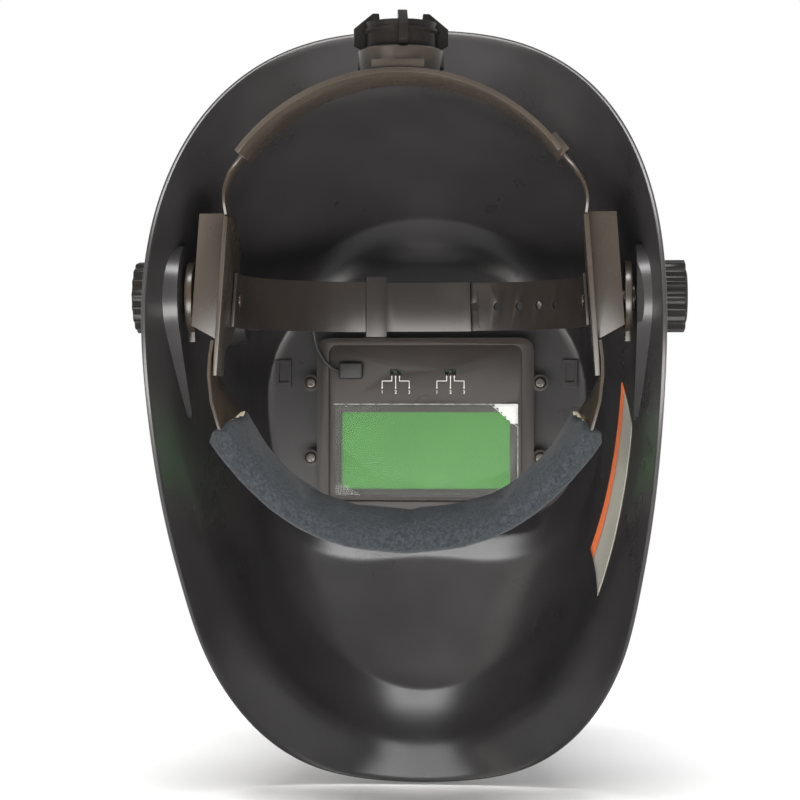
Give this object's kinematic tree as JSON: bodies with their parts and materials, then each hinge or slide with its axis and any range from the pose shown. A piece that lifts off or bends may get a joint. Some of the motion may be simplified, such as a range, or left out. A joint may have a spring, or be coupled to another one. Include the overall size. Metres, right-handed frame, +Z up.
{
  "type": "welding helmet",
  "caption": "Auto-darkening welding helmet: moulded shell with a clamped filter cartridge and a pivoting ratchet headgear with pad and crown straps, shown flipped up.",
  "frame": {"origin": "midway between the two side pivots, on their axis, where the wearer's head is held", "axes": "+Z up with the shell as worn, +Y out through the front of the shell, +X to the wearer's right"},
  "size_m": [0.2624, 0.2346, 0.3803],
  "materials": {
    "shell_nylon": "moulded satin",
    "headgear_plastic": "satin",
    "knob_plastic": "satin",
    "case_plastic": "fine texture",
    "clear_cover": "polished",
    "filter_glass": "polished",
    "solar_glass": "polished",
    "sensor_lens": "polished",
    "board": "lacquered",
    "steel": "plated",
    "brass": "plated",
    "rubber": "matt",
    "fleece": "brushed fleece over foam"
  },
  "bodies": {
    "headgear": {"side_rail_right": "headgear_plastic", "side_rail_left": "headgear_plastic", "side_block_right": "headgear_plastic", "side_block_left": "headgear_plastic", "strap_rivet_right": "headgear_plastic", "strap_rivet_left": "headgear_plastic", "ratchet_tail_right": "headgear_plastic", "ratchet_tail_left": "headgear_plastic", "front_band": "headgear_plastic", "sweatband_pad": "fleece", "crown_strap_left": "headgear_plastic", "crown_strap_right": "headgear_plastic"},
    "pivot_carrier": {"stop_disc_right": "headgear_plastic", "stop_disc_left": "headgear_plastic", "pivot_spacer_right": "headgear_plastic", "pivot_spacer_left": "headgear_plastic", "tension_washer_right": "steel", "tension_washer_left": "steel", "pivot_bolt_right": "steel", "pivot_bolt_left": "steel"},
    "shell": {"shell": "shell_nylon", "outer_cover_lens": "clear_cover", "adf_holder_frame": "case_plastic", "holder_screw_1": "steel", "holder_screw_2": "steel", "holder_screw_3": "steel", "holder_screw_4": "steel", "adf_case_rear": "case_plastic", "adf_case_front": "case_plastic", "lcd_filter": "filter_glass", "inner_cover_lens": "clear_cover", "circuit_board": "board", "solar_cell": "solar_glass", "arc_sensor_right": "sensor_lens", "arc_sensor_left": "sensor_lens", "shade_pot_body": "steel", "shade_pot_nut": "brass", "wire_boot": "rubber", "shade_lead": "rubber"},
    "nape": {"nape_plate": "headgear_plastic", "ratchet_housing": "headgear_plastic"},
    "ratchet": {"ratchet_knob": "knob_plastic", "ratchet_pinion": "headgear_plastic"},
    "tension_right": {"tension_knob_right": "knob_plastic"},
    "tension_left": {"tension_knob_left": "knob_plastic"},
    "shade_dial": {"shade_knob": "knob_plastic"},
    "sensitivity": {"sensitivity_slider": "case_plastic"},
    "delay": {"delay_slider": "case_plastic"}
  },
  "joints": [
    {"name": "fore_aft_slide", "type": "slide", "parent": "headgear", "child": "pivot_carrier", "axis": [0, 0, 1], "range_m": [-0.004, 0.008]},
    {"name": "flip", "type": "hinge", "parent": "pivot_carrier", "child": "shell", "pos_m": [0, 0, 0], "axis": [-1, 0, 0], "range_deg": [0, 90]},
    {"name": "ratchet_slide", "type": "slide", "parent": "headgear", "child": "nape", "axis": [0, 0, 1], "range_m": [-0.01, 0.004], "deforming": ["ratchet_tail_right", "ratchet_tail_left"]},
    {"name": "ratchet_turn", "type": "hinge", "parent": "nape", "child": "ratchet", "pos_m": [0, -0.058, 0.1085], "axis": [0, 0, 1], "range_deg": [-105, 42]},
    {"name": "tension_turn_right", "type": "hinge", "parent": "pivot_carrier", "child": "tension_right", "pos_m": [0.1122, 0, 0], "axis": [1, 0, 0], "continuous": true},
    {"name": "tension_turn_left", "type": "hinge", "parent": "pivot_carrier", "child": "tension_left", "pos_m": [-0.1122, 0, 0], "axis": [-1, 0, 0], "continuous": true},
    {"name": "shade_turn", "type": "hinge", "parent": "shell", "child": "shade_dial", "pos_m": [-0.0937, 0.1, -0.004], "axis": [-1, 0, 0], "range_deg": [-135, 135]},
    {"name": "sensitivity_slide", "type": "slide", "parent": "shell", "child": "sensitivity", "axis": [1, 0, 0], "range_m": [-0.0015, 0.0015]},
    {"name": "delay_slide", "type": "slide", "parent": "shell", "child": "delay", "axis": [1, 0, 0], "range_m": [-0.0015, 0.0015]}
  ],
  "couplings": [
    {"joint": "ratchet_turn", "follows": "ratchet_slide", "rad_per_m": 181.82}
  ]
}
